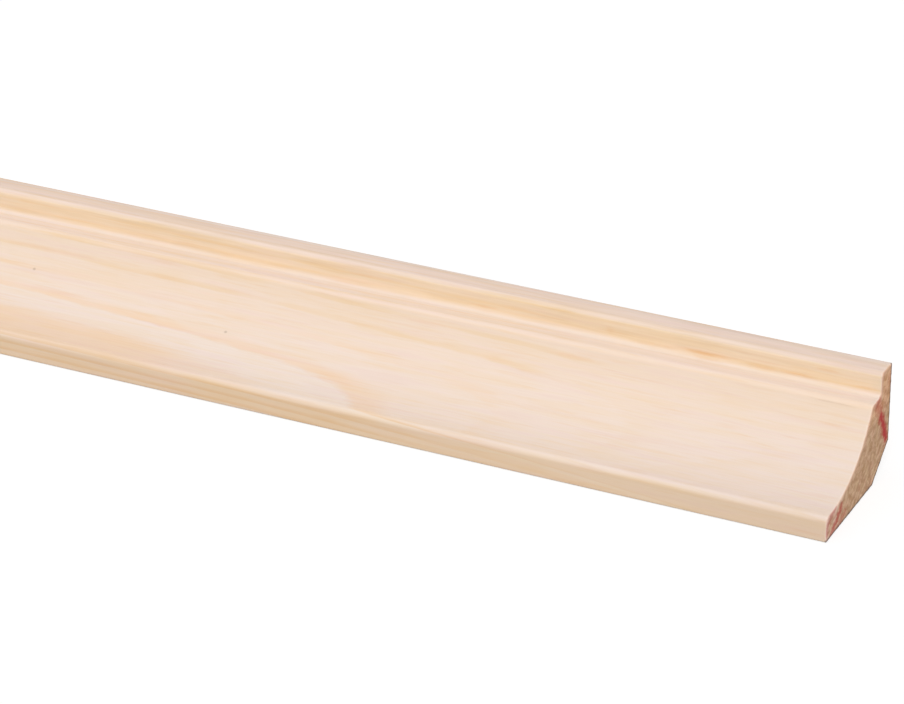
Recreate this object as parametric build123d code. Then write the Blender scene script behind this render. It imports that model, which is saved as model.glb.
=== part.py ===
from build123d import *
import os

# Cornice moulding: one length of softwood, planed all round to a single section and sawn square at both ends.
# In use it closes the corner between a wall and a ceiling. Here it lies as it does unheld on a level floor:
# its wall face is down on z = 0, its ceiling face stands upright at the back, and the moulded front faces -Y.
# X runs along the length. The origin is on the floor, under the middle of the length and of the section's depth.
# All sizes are in millimetres.

length = 2400.0

# The section's outer sizes and its two seats, which are square to each other
drop = 46.0  # how far the moulding comes down the wall, from back to front here
projection = 32.0  # how far it stands out across the ceiling, its height here
wall_face_width = 34.5
ceiling_face_width = 23.5

# The fascia: the flat band that hangs next to the ceiling, on top here
fascia_width = 7.4
fascia_depth = 6.8

# The shelf between the fascia and the cove
shelf_width = 6.3

# The toe: the square edge at the foot of the cove, with a narrow flat before the cove starts to rise
toe_height = 7.4
toe_flat = 3.0

# Edges eased by the cutters, and the root that they leave in the inner corner
nose_radius = 1.4  # fascia's front edge
lip_radius = 2.0  # edge between shelf and cove
toe_radius = 1.7  # edge between the toe flat and the toe's face
root_radius = 1.8  # inner corner between fascia and shelf
outer_edge_radius = 0.4  # the fascia's and the toe's edges next to the seats


def seat_outline():
    """Points of the seats and the back, from the toe's foot round the back to the fascia's front edge."""
    front, back = -drop / 2, drop / 2
    toe_foot = (front, 0)
    wall_face_end = (front + wall_face_width, 0)
    ceiling_face_foot = (back, projection - ceiling_face_width)
    ceiling_face_top = (back, projection)
    fascia_edge = (back - fascia_width, projection)
    return [toe_foot, wall_face_end, ceiling_face_foot, ceiling_face_top, fascia_edge]


def front_corners():
    """Corners of the moulded front, from the fascia's root down to the toe's upper edge."""
    front, back = -drop / 2, drop / 2
    shelf_height = projection - fascia_depth
    root = (back - fascia_width, shelf_height)
    lip = (back - fascia_width - shelf_width, shelf_height)
    cove_foot = (front + toe_flat, toe_height)
    toe_edge = (front, toe_height)
    return root, lip, cove_foot, toe_edge


def eased_corners():
    """Each corner that isn't sharp, with its radius."""
    root, lip, _, toe_edge = front_corners()
    toe_foot, _, _, ceiling_face_top, fascia_edge = seat_outline()
    return [
        (fascia_edge, nose_radius),
        (root, root_radius),
        (lip, lip_radius),
        (toe_edge, toe_radius),
        (toe_foot, outer_edge_radius),
        (ceiling_face_top, outer_edge_radius),
    ]


def section():
    """The section as a face, drawn in YZ and seen from +X."""
    root, lip, cove_foot, toe_edge = front_corners()
    seats = seat_outline()
    with BuildSketch(Plane.YZ) as sketch:
        with BuildLine():
            Polyline(*seats, root, lip)
            # The cove leaves the toe flat without a break and rises to the lip as one arc
            TangentArc(cove_foot, lip, tangent=(1, 0))
            Polyline(cove_foot, toe_edge, seats[0])
        make_face()
        for corner, radius in eased_corners():
            fillet(sketch.vertices().sort_by_distance(corner)[0], radius)
    return sketch.sketch


def cornice_moulding():
    """The whole length, with the section's middle on the origin."""
    return extrude(section(), amount=length / 2, dir=(1, 0, 0), both=True)


os.makedirs("parts", exist_ok=True)
export_step(cornice_moulding(), "parts/cornice_moulding.step")
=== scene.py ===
import math

import bpy
import numpy as np
from mathutils import Matrix, Vector, geometry, noise


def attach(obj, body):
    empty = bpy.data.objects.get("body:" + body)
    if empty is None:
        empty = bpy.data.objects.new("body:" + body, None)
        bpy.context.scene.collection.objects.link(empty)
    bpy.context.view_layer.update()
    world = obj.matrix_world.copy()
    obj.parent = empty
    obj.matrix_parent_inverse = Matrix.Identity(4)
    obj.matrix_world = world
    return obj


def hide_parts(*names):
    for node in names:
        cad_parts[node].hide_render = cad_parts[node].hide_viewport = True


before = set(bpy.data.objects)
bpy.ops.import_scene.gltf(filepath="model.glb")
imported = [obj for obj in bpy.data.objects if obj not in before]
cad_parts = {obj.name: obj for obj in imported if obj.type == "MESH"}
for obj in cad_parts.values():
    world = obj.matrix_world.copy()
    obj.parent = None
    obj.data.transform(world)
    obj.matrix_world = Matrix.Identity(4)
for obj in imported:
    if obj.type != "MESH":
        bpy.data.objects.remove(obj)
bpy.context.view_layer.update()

# Cornice moulding in planed pine. Its section and length repeat the CAD model's named sizes, in millimetres.
# X runs along the length, the wall face lies on z = 0, the ceiling face stands at the back, the front faces -Y.

MM = 0.001

LENGTH = 2400.0
DROP, PROJECTION = 46.0, 32.0
WALL_FACE, CEILING_FACE = 34.5, 23.5
FASCIA_WIDTH, FASCIA_DEPTH = 7.4, 6.8
SHELF_WIDTH = 6.3
TOE_HEIGHT, TOE_FLAT = 7.4, 3.0
NOSE_R, LIP_R, TOE_R, ROOT_R, OUTER_R = 1.4, 2.0, 1.7, 1.8, 0.4
BEVEL_R = 0.25  # the two obtuse edges at the back are barely eased

HALF = LENGTH / 2
FRONT, BACK = -DROP / 2, DROP / 2
SHELF_Z = PROJECTION - FASCIA_DEPTH
FASCIA_Y = BACK - FASCIA_WIDTH
LIP_Y = FASCIA_Y - SHELF_WIDTH
FOOT_Y = FRONT + TOE_FLAT
BEVEL_START, BEVEL_END = (FRONT + WALL_FACE, 0.0), (BACK, PROJECTION - CEILING_FACE)

# The cove leaves the toe flat level and passes through the sharp lip corner
COVE_R = ((LIP_Y - FOOT_Y) ** 2 + (SHELF_Z - TOE_HEIGHT) ** 2) / (2 * (SHELF_Z - TOE_HEIGHT))
COVE_Y, COVE_Z = FOOT_Y, TOE_HEIGHT + COVE_R

# Spacing of the outline's points on straight lines and wide arcs, and on tight arcs
STEP, ARC_STEP = 0.5, 0.16
WIDE_RADIUS = 5.0
SAME_POINT = 1e-6


def fillet(before, corner, after, radius):
    """Centre, start and end angle of the arc that eases a corner between two straight lines, and its radius."""
    a, b, c = (Vector(p) for p in (before, corner, after))
    u, v = (a - b).normalized(), (c - b).normalized()
    half = u.angle(v) / 2
    centre = b + (u + v).normalized() * radius / math.sin(half)
    start, end = b + u * radius / math.tan(half) - centre, b + v * radius / math.tan(half) - centre
    a0, a1 = math.atan2(start.y, start.x), math.atan2(end.y, end.x)
    turn = (a1 - a0 + math.pi) % (2 * math.pi) - math.pi
    return centre, a0, a0 + turn, radius


def section_arcs():
    """The section's arcs in order, anticlockwise as seen from +X. Straight lines join them."""
    foot, ceiling_top = (FRONT, 0.0), (BACK, PROJECTION)
    nose, root = (FASCIA_Y, PROJECTION), (FASCIA_Y, SHELF_Z)
    lip, toe = (LIP_Y, SHELF_Z), (FRONT, TOE_HEIGHT)
    # The lip's arc touches the level shelf and, from inside the wood, the cove's circle
    lip_z = SHELF_Z - LIP_R
    lip_y = COVE_Y + math.sqrt((COVE_R + LIP_R) ** 2 - (COVE_Z - lip_z) ** 2)
    to_cove = math.atan2(COVE_Z - lip_z, COVE_Y - lip_y)
    return [
        fillet(foot, BEVEL_START, BEVEL_END, BEVEL_R),
        fillet(BEVEL_START, BEVEL_END, ceiling_top, BEVEL_R),
        fillet(BEVEL_END, ceiling_top, nose, OUTER_R),
        fillet(ceiling_top, nose, root, NOSE_R),
        fillet(nose, root, lip, ROOT_R),
        (Vector((lip_y, lip_z)), math.pi / 2, to_cove, LIP_R),
        (Vector((COVE_Y, COVE_Z)), to_cove - math.pi, -math.pi / 2, COVE_R),
        fillet((FOOT_Y, TOE_HEIGHT), toe, foot, TOE_R),
        fillet(toe, foot, BEVEL_START, OUTER_R),
    ]


def between(start, end):
    """Points on a straight line, without its two ends."""
    gap = end - start
    pieces = max(1, round(gap.length / STEP))
    return [start + gap * k / pieces for k in range(1, pieces)]


def outline():
    """The section's outline as points in order, anticlockwise as seen from +X, with the outward normal at each."""
    points = []
    for centre, a0, a1, radius in section_arcs():
        count = max(3, round(abs(a1 - a0) * radius / (STEP if radius > WIDE_RADIUS else ARC_STEP)))
        arc = [centre + radius * Vector((math.cos(a), math.sin(a))) for a in np.linspace(a0, a1, count + 1)]
        if points:
            points += between(points[-1], arc[0])
        if not points or (arc[0] - points[-1]).length > SAME_POINT:
            points.append(arc[0])
        points += arc[1:]
    points += between(points[-1], points[0])
    pts = np.array(points)
    along = np.roll(pts, -1, 0) - np.roll(pts, 1, 0)
    along /= np.linalg.norm(along, axis=1, keepdims=True)
    return pts, np.stack([along[:, 1], -along[:, 0]], 1)


# The sawn ends. Each has its own noise, and its sections stand close together where its edge is broken.
LEFT, RIGHT = -1, 1
END_SEEDS = {LEFT: 2, RIGHT: 1}
SEED_SHIFT = (17.3, -5.1, 9.7)
END_STEPS = (0.0, 0.05, 0.12, 0.22, 0.35, 0.52, 0.74, 1.05, 2.0, 4.0, 8.0, 14.0)
PLAIN_START, PLAIN_SECTIONS = 20, 119

# How deep the ends' edges are broken, at least and at most, next to the seats and the bevel and round the front.
# At the corners whose edges are hardly eased there is the least room for it.
SEAT_BREAK, FRONT_BREAK = (0.12, 0.3), (0.45, 1.0)
CORNER_BREAK, CORNER_GROWTH = 0.14, 0.3
TIGHT_CORNERS = ((BACK, PROJECTION), (FRONT, 0.0), BEVEL_START, BEVEL_END)
ON_SEAT = 0.2
FRAY_SIZE, FRAY = 1.6, 0.6
FINE_FRAY_SIZE, FINE_FRAY = 0.6, 0.25

# Points inside the end faces: their spacing, and as shares of it the rows' spacing and the gap to the edge
END_STEP, ROW_SHARE, EDGE_SHARE, JITTER = 0.55, 0.87, 0.55, 0.12

# Relief of the end faces: the least depth, and the depth and sizes of the fine scores and of the torn pits
SAWN_DEPTH, SCORE_DEPTH, PIT_DEPTH = 0.03, 0.07, 0.2
SCORE_SIZE, PIT_SIZE, PIT_START = (1.3, 1.6), (1.3, 1.1), 0.1


def wobble(x, y, z, seed):
    """Smooth noise on either side of zero. Each seed reads it at another place."""
    shift = [step * seed for step in SEED_SHIFT]
    return noise.noise(Vector((x + shift[0], y + shift[1], z + shift[2])))


def is_bevel(y, z):
    """Whether a point of the outline lies on the flat between the two seats."""
    start, end = Vector(BEVEL_START), Vector(BEVEL_END)
    along = (end - start).normalized()
    return abs((Vector((y, z)) - start).cross(along)) < ON_SEAT and y > start.x


def edge_rounding(pts, seed):
    """How far an end's edge is broken at each point of the outline: a little everywhere, more in frayed spots."""
    out = []
    for y, z in pts:
        fray = max(0.0, wobble(y / FRAY_SIZE, z / FRAY_SIZE, 0, seed)) * FRAY
        fray += abs(wobble(y / FINE_FRAY_SIZE, z / FINE_FRAY_SIZE, 3, seed)) * FINE_FRAY
        least, most = SEAT_BREAK if z < ON_SEAT or y > BACK - ON_SEAT or is_bevel(y, z) else FRONT_BREAK
        room = CORNER_BREAK + CORNER_GROWTH * min(math.dist((y, z), corner) for corner in TIGHT_CORNERS)
        out.append(min(least + fray, most, room))
    return np.array(out)


def stations():
    """The sections' places along X, from left to right."""
    left = [-HALF + step for step in END_STEPS]
    right = [HALF - step for step in reversed(END_STEPS)]
    return np.array([*left, *np.linspace(-HALF + PLAIN_START, HALF - PLAIN_START, PLAIN_SECTIONS), *right])


def end_points(loop):
    """Points inside an end face's outline on a jittered grid, clear of its edge."""
    rng = np.random.default_rng(5)
    lo, hi = loop.min(0), loop.max(0)
    grid = []
    for k, z in enumerate(np.arange(lo[1], hi[1], END_STEP * ROW_SHARE)):
        for y in np.arange(lo[0] + (k % 2) * END_STEP / 2, hi[0], END_STEP):
            grid.append((y, z))
    grid = np.array(grid) + rng.uniform(-JITTER, JITTER, (len(grid), 2))
    following = np.roll(loop, -1, 0)
    edge = following - loop
    rise = np.where(edge[:, 1] == 0, 1e-12, edge[:, 1])
    keep = []
    for p in grid:
        a = p - loop
        t = np.clip((a * edge).sum(1) / (edge**2).sum(1), 0, 1)
        gap = np.linalg.norm(a - edge * t[:, None], axis=1).min()
        crosses = (loop[:, 1] > p[1]) != (following[:, 1] > p[1])
        at = loop[:, 0] + (p[1] - loop[:, 1]) * edge[:, 0] / rise
        inside = np.count_nonzero(crosses & (at > p[0])) % 2
        if inside and gap > END_STEP * EDGE_SHARE:
            keep.append(tuple(p))
    return keep


def saw_relief(y, z, seed):
    """Depth below the end plane, in millimetres: fine scores all over, and torn pits here and there."""
    scores = wobble(y / SCORE_SIZE[0], z / SCORE_SIZE[1], 0, seed) * 0.5 + 0.5
    pits = max(0.0, wobble(y / PIT_SIZE[0], z / PIT_SIZE[1], 4, seed) - PIT_START)
    return SAWN_DEPTH + SCORE_DEPTH * scores + PIT_DEPTH * pits


def end_faces(verts, base, count, side):
    """One sawn end's triangles, on the outline's points from base on and inner points, which it adds to verts."""
    loop = np.array([v[1:] for v in verts[base : base + count]])
    flat = [Vector(p) for p in (*loop, *end_points(loop))]
    edges = [(i, (i + 1) % count) for i in range(count)]
    inside_only, tolerance = 1, 1e-7
    points, _, triangles, origins, _, _ = geometry.delaunay_2d_cdt(flat, edges, [], inside_only, tolerance)
    index = []
    for (y, z), origin in zip(points, origins):
        if origin and origin[0] < count:
            index.append(base + origin[0])
        else:
            verts.append((side * (HALF - saw_relief(y, z, END_SEEDS[side])), y, z))
            index.append(len(verts) - 1)
    faces = []
    for triangle in triangles:
        corners = [index[k] for k in triangle]
        a, b, c = (Vector(verts[k][1:]) for k in corners)
        turned = (b - a).cross(c - a) > 0
        faces.append(tuple(corners if turned == (side == RIGHT) else reversed(corners)))
    return faces


def moulding_mesh():
    """The moulding as one closed mesh, the number of points round it and the sections' places along X."""
    pts, normals = outline()
    count = len(pts)
    xs = stations()
    broken = {side: edge_rounding(pts, seed) for side, seed in END_SEEDS.items()}
    verts = []
    for x in xs:
        r = broken[RIGHT if x > 0 else LEFT]
        depth = HALF - abs(x)
        inset = np.where(depth < r, r - np.sqrt(np.maximum(0, r * r - (r - depth) ** 2)), 0)
        verts += [(x, y, z) for y, z in pts - normals * inset[:, None]]
    faces = []
    last = (len(xs) - 1) * count
    for a in range(0, last, count):
        b = a + count
        faces += [(a + i, b + i, b + (i + 1) % count, a + (i + 1) % count) for i in range(count)]
    faces += end_faces(verts, 0, count, LEFT)
    faces += end_faces(verts, last, count, RIGHT)
    mesh = bpy.data.meshes.new("moulding")
    mesh.from_pydata([Vector(v) * MM for v in verts], [], faces)
    mesh.update()
    return mesh, count, xs


# The bake's map: the length in strips above each other, and over them the left and the right end face side by side
STRIPS, STRIP_HEIGHT, MARGIN = 2, 0.415, 0.004
END_U, RIGHT_END_U, END_U_SCALE = 0.02, 0.3, 300
END_W, END_W_SCALE = 0.01, 220


def add_bake_map(mesh, count, xs):
    """A UV map that lays the length out in strips, with the end faces beside them, so that a bake stays sharp."""
    layer = mesh.uv_layers.new(name="OFBake")
    pts, _ = outline()
    run = np.linalg.norm(np.roll(pts, -1, 0) - pts, axis=1)
    around = np.r_[0, np.cumsum(run)]
    for poly in mesh.polygons:
        k, i = divmod(poly.index, count)
        if k < len(xs) - 1:
            middle = (xs[k] + xs[k + 1]) / 2
            row = min(STRIPS - 1, int((middle + HALF) / LENGTH * STRIPS))
            x0 = -HALF + row * LENGTH / STRIPS
            for loop_index in poly.loop_indices:
                kk, ii = divmod(mesh.loops[loop_index].vertex_index, count)
                s = around[count] if (ii == 0 and i == count - 1) else around[ii]
                u = MARGIN + (xs[kk] - x0) / (LENGTH / STRIPS) * (1 - 2 * MARGIN)
                w = MARGIN + row * (STRIP_HEIGHT + MARGIN) + s / around[count] * STRIP_HEIGHT
                layer.data[loop_index].uv = (u, w)
        else:
            u0 = END_U + (RIGHT_END_U if poly.center.x > 0 else 0.0)
            w0 = MARGIN + STRIPS * (STRIP_HEIGHT + MARGIN) + END_W
            for loop_index in poly.loop_indices:
                co = mesh.vertices[mesh.loops[loop_index].vertex_index].co / MM
                layer.data[loop_index].uv = (u0 + (co.y - FRONT) / END_U_SCALE, w0 + co.z / END_W_SCALE)


class Nodes:
    """Short names for building a node tree."""

    def __init__(self, owner):
        owner.use_nodes = True
        self.tree = owner.node_tree
        self.tree.nodes.clear()

    def node(self, kind, inputs=(), **props):
        """A shader node with its properties and with inputs by place or by name."""
        made = self.tree.nodes.new("ShaderNode" + kind)
        for key, value in props.items():
            setattr(made, key, value)
        for key, value in inputs.items() if isinstance(inputs, dict) else enumerate(inputs):
            self.put(value, made.inputs[key])
        return made

    def put(self, value, socket):
        """Links a socket's value to another socket, or sets it."""
        if isinstance(value, bpy.types.NodeSocket):
            self.tree.links.new(value, socket)
        else:
            socket.default_value = value

    def math(self, operation, *inputs, clamp=False):
        return self.node("Math", inputs, operation=operation, use_clamp=clamp).outputs[0]

    def plus(self, a, b):
        return self.math("ADD", a, b)

    def minus(self, a, b):
        return self.math("SUBTRACT", a, b)

    def times(self, a, b):
        return self.math("MULTIPLY", a, b)

    def over(self, a, b):
        return self.math("DIVIDE", a, b)

    def least(self, first, *others):
        for other in others:
            first = self.math("MINIMUM", first, other)
        return first

    def most(self, first, *others):
        for other in others:
            first = self.math("MAXIMUM", first, other)
        return first

    def vector(self, operation, *inputs):
        made = self.node("VectorMath", inputs, operation=operation)
        return made.outputs["Value" if operation in ("DOT_PRODUCT", "LENGTH") else "Vector"]

    def scaled(self, vector, factor):
        return self.node("VectorMath", {0: vector, "Scale": factor}, operation="SCALE").outputs[0]

    def distance(self, place, point, scale):
        """Distance of the place from a point, with each axis scaled."""
        return self.vector("LENGTH", self.vector("MULTIPLY", self.vector("SUBTRACT", place, point), scale))

    def away(self, place, y, z):
        """Distance from a line along X, seen in the section."""
        return self.distance(place, (0.0, y, z), (0.0, 1.0, 1.0))

    def smooth(self, value, low, high, to_low=0.0, to_high=1.0):
        """A soft step from to_low at low to to_high at high."""
        inputs = {"Value": value, "From Min": low, "From Max": high, "To Min": to_low, "To Max": to_high}
        return self.node("MapRange", inputs, interpolation_type="SMOOTHSTEP").outputs[0]

    def noise(self, place, sizes, detail, rough, seed):
        """Noise from 0 to 1. sizes are its features' sizes along the three axes, and inf leaves an axis out."""
        moved = self.vector("MULTIPLY", place, tuple(1 / size for size in sizes))
        inputs = {"Vector": moved, "W": seed, "Scale": 1.0, "Detail": detail, "Roughness": rough}
        return self.node("TexNoise", inputs, noise_dimensions="4D").outputs["Fac"]

    def fibres(self, place, along, across, *settings):
        """Noise from 0 to 1 with features of one size along the length and another across it."""
        return self.noise(place, (along, across, across), *settings)

    def sway(self, place, *settings):
        """The same noise from -0.5 to 0.5."""
        return self.minus(self.fibres(place, *settings), 0.5)

    def mix_value(self, factor, a, b):
        return self.node("Mix", {"Factor": factor, 2: a, 3: b}, data_type="FLOAT").outputs[0]

    def mix(self, factor, a, b, blend="MIX"):
        a, b = ((*c, 1.0) if isinstance(c, tuple) else c for c in (a, b))
        return self.node("Mix", {"Factor": factor, 6: a, 7: b}, data_type="RGBA", blend_type=blend).outputs[2]

    def tint(self, factor, colour, tint):
        """The colour, multiplied by the tint as far as the factor says."""
        return self.mix(factor, colour, self.mix(1.0, colour, tint, "MULTIPLY"))


def linear(r, g, b):
    """A colour that is written as it looks on a screen, from 0 to 255, as the shader needs it."""
    shares = (r / 255, g / 255, b / 255)
    return tuple(c / 12.92 if c <= 0.04045 else ((c + 0.055) / 1.055) ** 2.4 for c in shares)


WOOD = linear(239.3, 222, 208.3)
SPECK = linear(150, 126, 104)
END_GRAIN = linear(226, 189, 155)
END_GRAIN_DARK = linear(190, 149, 114)
END_FUZZ = linear(244, 211, 178)
END_LATEWOOD = linear(160, 114, 76)
END_ARRIS_FIBRES_AND_HIGHLIGHT = linear(232, 194, 168)  # paler torn fibres along the front, and a painted highlight where the broken edge catches the light
END_EDGE_SHADE = linear(104, 82, 76)  # painted shade: a dark line along the ends' edges at the seats and the bevel, as of a contact shadow
PAINT = linear(186, 62, 58)

# Tints of the latewood
LATE_TINT = (1.015, 0.905, 0.755)  # where it is strongest
INNER_LATE_TINT = (0.97, 0.915, 0.765)  # on the narrower rings further in, which are more olive
TOE_LATE_TINT = (0.93, 0.925, 0.89)
PALE_TINT = (1.01, 1.035, 1.06)  # the pale wood inside the bold arch

# Tints of the faces: partly the wood's tone, where a face cuts the rings at another angle, and partly painted
# light and shade for the light each face catches
# Upright faces: partly their tone across the rings, partly painted warm light from the front
UPRIGHT_TONE_AND_LIGHT_TINT = (1.0, 0.965, 0.89)
# Fascia: painted light, brighter than the toe below it, and a warmer tone
FASCIA_TONE_AND_LIGHT_TINT = (1.08, 1.055, 0.955)
# Toe face: partly its tone, partly painted warm light from the front
TOE_TONE_AND_LIGHT_TINT = (1.04, 0.99, 0.9)
# Painted highlight along the lip
LIP_HIGHLIGHT_TINT = (1.045, 1.02, 1.0)
# Painted highlight along the nose
NOSE_HIGHLIGHT_TINT = (1.02, 1.035, 1.05)
# Painted shade in the upper part of the root's hollow, which narrows the light there
FASCIA_FOOT_SHADE_TINT = (0.97, 0.95, 0.89)
# Painted shade that dims the light in the root's hollow
ROOT_SHADE_TINT = (0.965, 0.985, 1.0)
# Top: partly a pinker tone, partly painted cooler light from above
TOP_TONE_AND_LIGHT_TINT = (0.995, 0.958, 0.939)
TOP_BACK_TINT = (0.88, 0.92, 0.94)
# Painted shade: the lower cove a little darker towards the right end
RIGHT_FOOT_SHADE_TINT = (0.97, 0.975, 0.995)  # the lower cove towards the right end

# Noises in the wood: size along and across the length, detail, roughness and seed. Their tints are for high
# values and, in a pair, for low ones too.
PATCH, PATCH_TINT = (40.0, 5.0, 2.0, 0.5, 6.0), (0.995, 0.975, 0.955)
BAND, BAND_TINTS = (32.0, 2.2, 2.0, 0.6, 12.0), ((0.996, 0.97, 0.9), (0.986, 0.96, 0.98))
GRAIN, GRAIN_TINTS = (16.0, 0.9, 2.0, 0.55, 13.0), ((0.99, 0.95, 0.885), (1.012, 0.995, 1.015))
COARSE, COARSE_TINTS = (26.0, 1.5, 2.0, 0.55, 14.0), ((0.955, 0.94, 0.915), (1.022, 1.027, 1.045))
STREAK, FIBRE_TINT = (30.0, 0.5, 3.0, 0.6, 16.0), (0.965, 0.935, 0.9)
HAIR, HAIR_TINT = (6.0, 0.2, 2.0, 0.5, 15.0), (0.93, 0.9, 0.87)
FLECK_EDGE, FLECK_RAGGED, PITCH_TINT = (3.0, 0.5, 2.0, 0.6, 11.0), 1.4, (0.95, 0.79, 0.6)

# Lines along the length round which the painted highlights on the lip and nose and the painted shade in the root
# lie: Y and Z
LIP_LINE, NOSE_LINE, ROOT_LINE = (9.5, 24.9), (16.0, 31.6), (14.4, 25.3)

# Surface: roughness of the wood, of its latewood and what a sawn end adds, and each bump's strength and depth in
# metres. On planed wood latewood, streaks and hairs stand up, and on the ends the mottle and the fuzz.
ROUGHNESS, LATE_ROUGHNESS, SAWN_ROUGHNESS = 0.6, 0.5, 0.25
SHINE = 0.3
PLANED_BUMP, SAWN_BUMP = (0.35, 0.00004), (0.65, 0.0002)
LATE_HEIGHT, STREAK_HEIGHT, HAIR_HEIGHT, FUZZ_HEIGHT = 0.5, 0.9, 0.5, 0.8

# The tree's pith ran above the piece, so the growth rings hang through the section like shallow bowls.
# Towards the right end they sink, most of all under the toe, which draws the long arches on the cove.
PITH_Y, PITH_Z = -17.8, 53.6
SINK_START, SINK_SPAN, SINK, SINK_POWER = 895.0, 240.0, 6.05, 2.79
SINK_FULL_Y, SINK_WIDTH, SINK_LEAST = -18.0, 28.0, 0.15
PITH_DRIFT = 1.3
WANDER, WANDER_REACH = (260.0, 60.0, 1.0, 0.5, 3.0), 16.0
BEND, BEND_REACH = (45.0, 9.0, 2.0, 0.5, 1.0), 0.5
RAGGED, RAGGED_REACH = (7.0, 1.2, 2.0, 0.6, 2.0), 0.3
BOLD_EDGE = 44.22  # outer edge of the ring that draws the bold arch, as its distance from the pith
RINGS_INSIDE, RING_OUTSIDE, RINGS_BEYOND = 1.6, 3.15, 2.3  # widths of the rings within, next to it and beyond

# Latewood as a share of its ring: where it begins within and outside the bold edge, is full, and ends
LATE_BEGINS, LATE_FULL, LATE_ENDS = (0.56, 0.35), 0.88, (0.92, 1.0)
DASHES, DASH_SHIFT = ((24.0, 1.0, 1.0), 1.0, 0.5, 9.0), 13.7

# Noises and tints of the sawn ends
MOTTLE = ((math.inf, 2.6, 1.9), 3.0, 0.55, 7.0)
FUZZ = ((math.inf, 1.1, 0.9), 2.0, 0.5, 8.0)
BROAD, BROAD_TINTS = ((math.inf, 3.0, 5.0), 2.0, 0.5, 10.0), ((1.0, 1.015, 0.93), (1.03, 0.96, 0.97))
END_UPPER_TINT = (1.17, 1.06, 1.0)
END_TOE_TINT = (1.18, 1.29, 1.5)

# The red strokes on the right end: half width, strength, and points in Y and Z
STROKES = [
    (2.2, 0.55, [(13.3, 24.4), (14.5, 21.9), (16.2, 18.8)]),
    (1.9, 1.0, [(15.9, 19.2), (17.8, 15.9), (19.6, 12.7), (20.8, 10.2)]),
    (1.6, 0.35, [(11.8, 24.2), (13.0, 22.2)]),
    (1.6, 0.5, [(-17.2, 7.2), (-19.6, 6.4), (-21.4, 5.4), (-22.3, 3.9), (-22.4, 2.2)]),
    (1.5, 0.74, [(-12.4, 5.3), (-13.9, 4.2), (-15.3, 2.9), (-17.2, 1.9), (-19.5, 0.8)]),
    (1.2, 0.42, [(-9.2, 2.2), (-11.5, 1.5), (-13.5, 0.9), (-18.0, 0.4)]),
    (3.6, 0.14, [(-20.5, 4.6), (-12.5, 2.2)]),
]

# Small dark specks on the cove: X, Y and half sizes along X and Y
SPECKS = [(942.5, 2.0, 0.5, 0.45), (1009.2, -3.25, 0.5, 0.45)]
SPECK_STRENGTH = 0.38

# Warm flecks: on the fascia X, Z, half sizes along both and strength, and on the cove the same with X and Y
FASCIA_FLECKS = [
    (1149, 26.9, 7.0, 0.8, 1.0),
    (1149, 25.5, 5.5, 0.7, 0.6),
    (1176, 26.6, 6.0, 0.55, 0.7),
    (1166, 26.5, 5.0, 0.5, 0.5),
    (1134, 26.3, 8.0, 0.55, 0.5),
    (1195, 26.8, 4.5, 0.55, 0.5),
    (1082, 27.1, 5.0, 0.45, 0.45),
    (1120.5, 28.0, 1.6, 1.2, 0.35),
    (1184, 29.7, 4.0, 0.45, 0.45),
]
COVE_FLECKS = [
    (984, 8.45, 6.0, 0.4, 0.3),
    (1067, 7.75, 8.0, 0.5, 0.3),
    (1113, 7.3, 9.0, 0.6, 0.35),
    (948, 6.6, 17.0, 0.55, 0.35),
    (982, 6.0, 12.0, 0.5, 0.25),
    (1093, 4.0, 8.0, 0.6, 0.25),
    (1145, 1.6, 7.0, 0.7, 0.2),
    (1162, 0.7, 4.0, 0.6, 0.2),
    (1108, -5.2, 10.0, 1.3, 0.2),
    (1124, -5.5, 10.0, 1.2, 0.2),
    (1190, 5.4, 5.0, 0.35, 0.4),
    (1168, -0.6, 3.5, 0.25, 0.35),
    (1174, -1.8, 3.0, 0.25, 0.35),
    (1171, -2.3, 2.5, 0.2, 0.3),
    (1180, 1.2, 3.0, 0.25, 0.3),
]
FASCIA_FLECK_DEPTH, COVE_FLECK_DEPTH = 1.2, 1.5


def cove_height(y):
    """Height of the cove's surface."""
    return COVE_Z - math.sqrt(COVE_R**2 - (y - COVE_Y) ** 2)


def ring_count(n, place, x, y, z):
    """Rings from the bold one outwards. Whole numbers are their outer edges, where latewood ends sharply."""
    # How far the pith has sunk. It also wanders along the part of the length beyond the arches.
    along = n.most(n.over(n.minus(x, SINK_START), SINK_SPAN), 0.0)
    share = n.most(n.minus(1.0, n.over(n.minus(y, SINK_FULL_Y), SINK_WIDTH)), SINK_LEAST)
    sink = n.times(n.times(n.math("POWER", along, SINK_POWER), SINK), share)
    sink = n.plus(sink, n.times(n.sway(place, *WANDER), n.smooth(x, 640.0, 880.0, WANDER_REACH, 0.0)))
    # Distance from it, with the rings a little bent and ragged
    across = n.minus(n.minus(y, PITH_Y), n.times(along, PITH_DRIFT))
    below = n.minus(n.minus(PITH_Z, sink), z)
    radius = n.math("SQRT", n.plus(n.times(across, across), n.times(below, below)))
    bend = n.times(n.sway(place, *BEND), BEND_REACH)
    ragged = n.times(n.sway(place, *RAGGED), RAGGED_REACH)
    beyond_bold = n.minus(n.plus(radius, n.plus(bend, ragged)), BOLD_EDGE)
    inside = n.least(n.over(beyond_bold, RINGS_INSIDE), 0.0)
    next_ring = n.math("DIVIDE", beyond_bold, RING_OUTSIDE, clamp=True)
    outside = n.most(n.over(n.minus(beyond_bold, RING_OUTSIDE), RINGS_BEYOND), 0.0)
    return n.plus(n.plus(inside, next_ring), outside)


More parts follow.
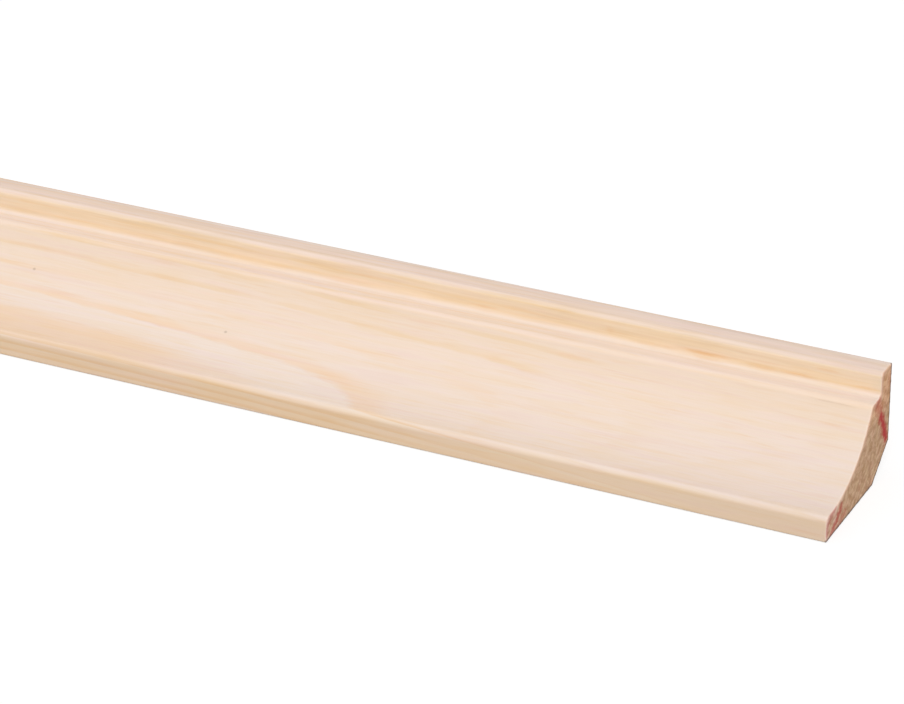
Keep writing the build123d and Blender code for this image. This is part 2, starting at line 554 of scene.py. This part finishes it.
def latewood(n, place, x, y, z, toe):
    """How much latewood shows at a point, how much of the pale wood beside the bold arch, and how far in it is."""
    rings = ring_count(n, place, x, y, z)
    part = n.math("FRACT", n.plus(rings, 100.0))
    ring = n.math("FLOOR", rings)
    is_foot = n.math("COMPARE", ring, 0.0, 0.5)
    # The rings outside have more of it, and the first one's starts early and shows as a patch on the cove's foot
    begins = n.mix_value(n.smooth(ring, -0.6, 0.4), *LATE_BEGINS)
    late = n.times(n.smooth(part, begins, LATE_FULL), n.smooth(part, *LATE_ENDS, 1.0, 0.0))
    early = n.times(is_foot, n.times(n.smooth(part, 0.22, 0.44), n.smooth(part, 0.94, 1.0, 1.0, 0.0)))
    early = n.times(early, n.smooth(x, 980.0, 1020.0, 1.0, 0.3))
    # Along the length it comes and goes, less so from the bold ring outwards
    dashes = n.node("CombineXYZ", [x, n.times(ring, DASH_SHIFT), 0.0]).outputs[0]
    dashes = n.noise(dashes, *DASHES)
    outwards = n.smooth(ring, -1.6, -0.4)
    half_next = n.minus(1.0, n.times(n.math("COMPARE", ring, -2.0, 0.5), 0.5))
    others = n.times(half_next, n.smooth(dashes, 0.3, 0.62, 0.2, 0.75))
    strength = n.mix_value(outwards, others, n.smooth(dashes, 0.3, 0.6, 0.6, 0.8))
    # Towards the right end the rings inside the bold one fade out, and all of them on the toe's face
    inner = n.math("LESS_THAN", ring, -1.5)
    fade = n.minus(1.0, n.times(inner, n.smooth(x, 1085.0, 1130.0, 0.0, 0.7)))
    late = n.times(n.most(late, early), n.times(strength, fade))
    late = n.times(late, n.minus(1.0, n.times(toe, n.smooth(x, 1040.0, 1100.0, 0.0, 0.6))))
    pale = n.times(is_foot, n.smooth(part, 0.15, 0.38, 1.0, 0.0))
    pale = n.times(pale, n.smooth(x, 960.0, 1010.0, 0.5, 1.0))
    return late, pale, n.smooth(ring, -3.5, -1.5, 1.0, 0.0)


def flecks(n, place):
    """The warm flecks as one strength from 0 to 1, ragged at their edges."""
    ragged = n.times(n.sway(place, *FLECK_EDGE), FLECK_RAGGED)
    spots = [((fx, FASCIA_Y, fz), (hx, FASCIA_FLECK_DEPTH, hz), k) for fx, fz, hx, hz, k in FASCIA_FLECKS]
    spots += [((fx, fy, cove_height(fy)), (hx, hy, COVE_FLECK_DEPTH), k) for fx, fy, hx, hy, k in COVE_FLECKS]
    found = []
    for centre, size, strength in spots:
        away = n.distance(place, centre, tuple(1 / half for half in size))
        found.append(n.smooth(n.plus(away, ragged), 0.0, 1.3, strength, 0.0))
    return n.most(*found)


def paint_cover(n, place, blots):
    """How much of the end's red paint lies at a point, from 0 to 1."""
    flat = n.vector("MULTIPLY", place, (0.0, 1.0, 1.0))
    cover = []
    for width, strength, points in STROKES:
        away = []
        for a, b in zip(points[:-1], points[1:]):
            along = Vector((0, b[0] - a[0], b[1] - a[1]))
            from_a = n.vector("SUBTRACT", flat, (0.0, *a))
            share = n.vector("DOT_PRODUCT", from_a, tuple(along))
            share = n.math("MULTIPLY", share, 1 / along.length_squared, clamp=True)
            away.append(n.vector("LENGTH", n.vector("SUBTRACT", from_a, n.scaled(tuple(along), share))))
        near = n.plus(n.over(n.least(*away), width), blots)
        cover.append(n.smooth(near, 0.1, 1.45, strength, 0.0))
    return n.most(*cover)


def from_seats(n, place, y, z):
    """Distance from the nearest of the two seats and the bevel between them, seen in the section."""
    bevel = Vector(BEVEL_START) - Vector(BEVEL_END)
    across = Vector((bevel.y, -bevel.x)).normalized()
    reach = across.dot(Vector(BEVEL_START))
    from_bevel = n.minus(n.vector("DOT_PRODUCT", place, (0.0, across.x, across.y)), reach)
    return n.least(z, from_bevel, n.minus(BACK, y))


def from_moulded_front(n, place, y, z):
    """Distance from the nearest of the cove, the notch over it and the outer faces, seen in the section."""
    from_cove = n.minus(n.away(place, COVE_Y, COVE_Z), COVE_R)
    from_notch = n.most(n.minus(y, FASCIA_Y), n.minus(SHELF_Z, z))
    from_outside = n.least(n.minus(y, FRONT), n.minus(PROJECTION, z))
    return n.least(from_cove, from_notch, from_outside)


def end_grain(n, place, x, y, z, late):
    """Colour and height of the sawn ends: dark, fuzzy and mottled, with a trace of the rings, and red paint."""
    mottle = n.noise(place, *MOTTLE)
    fuzz = n.noise(place, *FUZZ)
    broad = n.noise(place, *BROAD)
    colour = n.mix(n.smooth(mottle, 0.35, 0.65), END_GRAIN_DARK, END_GRAIN)
    colour = n.mix(n.smooth(fuzz, 0.52, 0.7, 0.0, 0.36), colour, END_FUZZ)
    colour = n.tint(n.smooth(broad, 0.45, 0.7), colour, BROAD_TINTS[0])
    colour = n.tint(n.smooth(broad, 0.5, 0.3), colour, BROAD_TINTS[1])
    colour = n.tint(n.smooth(z, 17.0, 23.0), colour, END_UPPER_TINT)
    colour = n.mix(n.times(late, 0.45), colour, END_LATEWOOD)
    # Along the moulded front the ends turn paler: partly torn fibres, partly a painted highlight on the broken
    # edge
    from_front = n.plus(from_moulded_front(n, place, y, z), n.times(n.minus(fuzz, 0.5), 1.6))
    colour = n.mix(n.smooth(from_front, 0.1, 2.2, 0.62, 0.0), colour, END_ARRIS_FIBRES_AND_HIGHLIGHT)
    # The paint, and the paler wood round its lower strokes, lie on the right end only
    on_right = n.smooth(x, HALF - 1.4, HALF - 0.8)
    colour = n.tint(n.times(on_right, n.smooth(y, -17.0, -9.0, 1.0, 0.0)), colour, END_TOE_TINT)
    blots = n.times(n.minus(n.mix_value(0.5, fuzz, mottle), 0.5), 3.0)
    colour = n.mix(n.times(on_right, paint_cover(n, place, blots)), colour, PAINT)
    return colour, n.plus(mottle, n.times(fuzz, FUZZ_HEIGHT))


def on_front(n, normal_y, band):
    """Where the surface faces forwards, within a band of the section."""
    return n.times(n.smooth(normal_y, -0.99, -0.85, 1.0, 0.0), band)


def planed_grain(n, place, x, y, z, normal_y, toe, late, pale, inner):
    """Colour and height of the planed faces."""
    streak, hair = n.fibres(place, *STREAK), n.fibres(place, *HAIR)
    patch, band, grain, coarse = (n.fibres(place, *settings) for settings in (PATCH, BAND, GRAIN, COARSE))
    upright = n.smooth(n.math("ABSOLUTE", normal_y), 0.45, 0.98)
    on_toe = n.times(n.smooth(y, FRONT + 0.5, FRONT + 1.1, 1.0, 0.0), n.smooth(z, 0.1, 0.4))
    fascia_foot_shade = n.times(n.smooth(z, 25.5, 26.2), n.smooth(z, 26.5, 27.4, 1.0, 0.0))
    upper = n.smooth(z, 25.3, 26.5)
    # Each tint with where it applies, from millimetres along an axis or the values of a noise
    tints = [
        (late, n.mix(inner, LATE_TINT, INNER_LATE_TINT)),
        (pale, PALE_TINT),
        (upright, UPRIGHT_TONE_AND_LIGHT_TINT),
        (on_front(n, normal_y, n.smooth(z, 25.6, 27.2)), FASCIA_TONE_AND_LIGHT_TINT),
        (toe, TOE_TONE_AND_LIGHT_TINT),
        (n.times(on_toe, late), TOE_LATE_TINT),
        (n.smooth(n.away(place, *LIP_LINE), 0.5, 1.3, 1.0, 0.0), LIP_HIGHLIGHT_TINT),
        (n.smooth(n.away(place, *NOSE_LINE), 0.4, 1.1, 1.0, 0.0), NOSE_HIGHLIGHT_TINT),
        (n.times(fascia_foot_shade, n.smooth(y, 13.0, 14.0)), FASCIA_FOOT_SHADE_TINT),
        (n.smooth(n.away(place, *ROOT_LINE), 0.5, 1.3, 1.0, 0.0), ROOT_SHADE_TINT),
        (n.smooth(z, 30.9, 31.9), TOP_TONE_AND_LIGHT_TINT),
        (n.times(n.smooth(y, 19.5, 22.8, 0.0, 0.6), n.smooth(z, 31.0, 31.8)), TOP_BACK_TINT),
        (n.times(n.smooth(x, 1120.0, HALF), n.smooth(z, 12.0, 24.0, 1.0, 0.0)), RIGHT_FOOT_SHADE_TINT),
        (n.smooth(patch, 0.35, 0.75, 0.0, 0.5), PATCH_TINT),
        (n.smooth(band, 0.45, 0.66, 0.0, 0.8), BAND_TINTS[0]),
        (n.smooth(band, 0.5, 0.34, 0.0, 0.8), BAND_TINTS[1]),
        (n.smooth(grain, 0.5, 0.7, 0.0, 0.85), GRAIN_TINTS[0]),
        (n.smooth(grain, 0.48, 0.3, 0.0, 0.85), GRAIN_TINTS[1]),
        (n.times(upper, n.smooth(coarse, 0.48, 0.66)), COARSE_TINTS[0]),
        (n.times(upper, n.smooth(coarse, 0.5, 0.34)), COARSE_TINTS[1]),
        (n.smooth(streak, 0.3, 0.75, 0.0, 0.42), FIBRE_TINT),
        (n.smooth(hair, 0.55, 0.8, 0.0, 0.35), HAIR_TINT),
        (n.times(flecks(n, place), n.smooth(streak, 0.25, 0.6, 0.6, 1.0)), PITCH_TINT),
    ]
    colour = WOOD
    for factor, tint in tints:
        colour = n.tint(factor, colour, tint)
    for fx, fy, hx, hy in SPECKS:
        away = n.distance(place, (fx, fy, cove_height(fy)), (1 / hx, 1 / hy, 1 / hy))
        colour = n.mix(n.smooth(away, 0.3, 1.4, SPECK_STRENGTH, 0.0), colour, SPECK)
    height = n.plus(n.times(late, LATE_HEIGHT), n.times(streak, STREAK_HEIGHT))
    return colour, n.plus(height, n.times(hair, HAIR_HEIGHT))


def pine():
    """The wood, in three dimensions, so that faces, edges and ends show the same rings."""
    material = bpy.data.materials.new("pine")
    n = Nodes(material)
    coords = n.node("TexCoord")
    place = n.scaled(coords.outputs["Object"], 1 / MM)
    x, y, z = n.node("SeparateXYZ", [place]).outputs
    normal_x, normal_y, _ = n.node("SeparateXYZ", [coords.outputs["Normal"]]).outputs
    is_end = n.smooth(n.math("ABSOLUTE", normal_x), 0.4, 0.95)
    toe = on_front(n, normal_y, n.smooth(z, 5.6, 7.0, 1.0, 0.0))

    late, pale, inner = latewood(n, place, x, y, z, toe)
    planed, planed_height = planed_grain(n, place, x, y, z, normal_y, toe, late, pale, inner)
    sawn, sawn_height = end_grain(n, place, x, y, z, late)
    # Painted shade: a dark line along the ends' edges at the seats and the bevel
    seat_shade = n.smooth(from_seats(n, place, y, z), 0.2, 1.1, 0.85, 0.0)
    near_end = n.smooth(n.math("ABSOLUTE", x), HALF - 0.5, HALF - 0.25)
    colour = n.mix(n.times(seat_shade, near_end), n.mix(is_end, planed, sawn), END_EDGE_SHADE)

    bump = {"Strength": PLANED_BUMP[0], "Distance": PLANED_BUMP[1], "Height": planed_height}
    normal = n.node("Bump", bump).outputs[0]
    strength = n.times(is_end, SAWN_BUMP[0])
    bump = {"Strength": strength, "Distance": SAWN_BUMP[1], "Height": sawn_height, "Normal": normal}
    normal = n.node("Bump", bump).outputs[0]

    roughness = n.smooth(late, 0.0, 1.0, ROUGHNESS, LATE_ROUGHNESS)
    roughness = n.plus(roughness, n.times(is_end, SAWN_ROUGHNESS))
    shader = {"Base Color": colour, "Roughness": roughness, "Normal": normal, "Specular IOR Level": SHINE}
    n.node("OutputMaterial", [n.node("BsdfPrincipled", shader).outputs[0]])
    return material


def link(name, data):
    """A new object in the scene."""
    ob = bpy.data.objects.new(name, data)
    bpy.context.scene.collection.objects.link(ob)
    return ob


SHARP_DEGREES = 50

mesh, around_count, xs = moulding_mesh()
add_bake_map(mesh, around_count, xs)
mesh.polygons.foreach_set("use_smooth", [True] * len(mesh.polygons))
mesh.set_sharp_from_angle(angle=math.radians(SHARP_DEGREES))
mesh.materials.append(pine())
moulding = link("moulding", mesh)
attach(moulding, "root")
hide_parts("cornice_moulding")

# Light, in strengths and linear colours, and the floor's half side and depth in metres
FLOOR_HALF, FLOOR_DEPTH = 9.0, 0.0001
FLOOR_GREY, FLOOR_GLOW = 0.42, 0.64
SKY, SKY_STRENGTH = (1.0, 0.975, 0.98, 1), 0.5
SUN_TOWARDS, SUN_STRENGTH, SUN_ANGLE = (0.4, -0.6, 0.72), 1.88, 35
WHITE = (1, 1, 1, 1)


def seen(n):
    """1 for rays that look at the scene and 0 for those that light it."""
    rays = n.node("LightPath").outputs
    return n.most(rays["Is Camera Ray"], rays["Is Glossy Ray"], rays["Is Transmission Ray"])


# Floor: pale, and seen white where the lamps reach it, so that only the shadow shows
floor_mesh = bpy.data.meshes.new("floor")
corners = [(sx * FLOOR_HALF, sy * FLOOR_HALF, -FLOOR_DEPTH) for sx, sy in ((-1, -1), (1, -1), (1, 1), (-1, 1))]
floor_mesh.from_pydata(corners, [], [(0, 1, 2, 3)])
floor = link("floor", floor_mesh)
floor_material = bpy.data.materials.new("floor")
n = Nodes(floor_material)
plain = n.node("BsdfDiffuse", {"Color": (FLOOR_GREY, FLOOR_GREY, FLOOR_GREY, 1)})
glow = n.node("Emission", {"Color": WHITE, "Strength": n.times(seen(n), FLOOR_GLOW)})
n.node("OutputMaterial", [n.node("AddShader", [plain.outputs[0], glow.outputs[0]]).outputs[0]])
floor_mesh.materials.append(floor_material)

# Surroundings: a soft, even light that is seen as white
world = bpy.data.worlds.new("studio")
bpy.context.scene.world = world
n = Nodes(world)
soft = n.node("Background", {"Color": SKY, "Strength": SKY_STRENGTH})
white = n.node("Background", {"Color": WHITE, "Strength": 1.0})
n.node("OutputWorld", [n.node("MixShader", [seen(n), soft.outputs[0], white.outputs[0]]).outputs[0]])

key_data = bpy.data.lights.new("key", "SUN")
key_data.energy, key_data.angle = SUN_STRENGTH, math.radians(SUN_ANGLE)
key = link("key", key_data)
key.rotation_euler = Vector(SUN_TOWARDS).to_track_quat("Z", "Y").to_euler()

# Camera: solved from the photograph's long edges and the corners of the end
CAMERA_AT = (1.499043, -0.851879, 0.506296)
AZIMUTH, ELEVATION, ROLL = (math.radians(a) for a in (26.22, 27.145, -0.431))
FOCAL_PX, WIDTH_PX, SENSOR = 3842.7, 904, 36.0
camera_data = bpy.data.cameras.new("camera")
camera_data.sensor_fit = "HORIZONTAL"
camera_data.sensor_width = SENSOR
camera_data.lens = FOCAL_PX / WIDTH_PX * SENSOR
camera_data.clip_start, camera_data.clip_end = 0.05, 50.0
camera = link("camera", camera_data)
level = math.cos(ELEVATION)
back = Vector((math.sin(AZIMUTH) * level, -math.cos(AZIMUTH) * level, math.sin(ELEVATION)))
right = Vector((0, 0, 1)).cross(back).normalized()
up = back.cross(right)
rolled_right = right * math.cos(ROLL) + up * math.sin(ROLL)
rolled_up = up * math.cos(ROLL) - right * math.sin(ROLL)
turned = Matrix((rolled_right, rolled_up, back)).transposed().to_4x4()
camera.matrix_world = Matrix.Translation(CAMERA_AT) @ turned
bpy.context.scene.camera = camera
bpy.context.scene.view_settings.view_transform = "Standard"
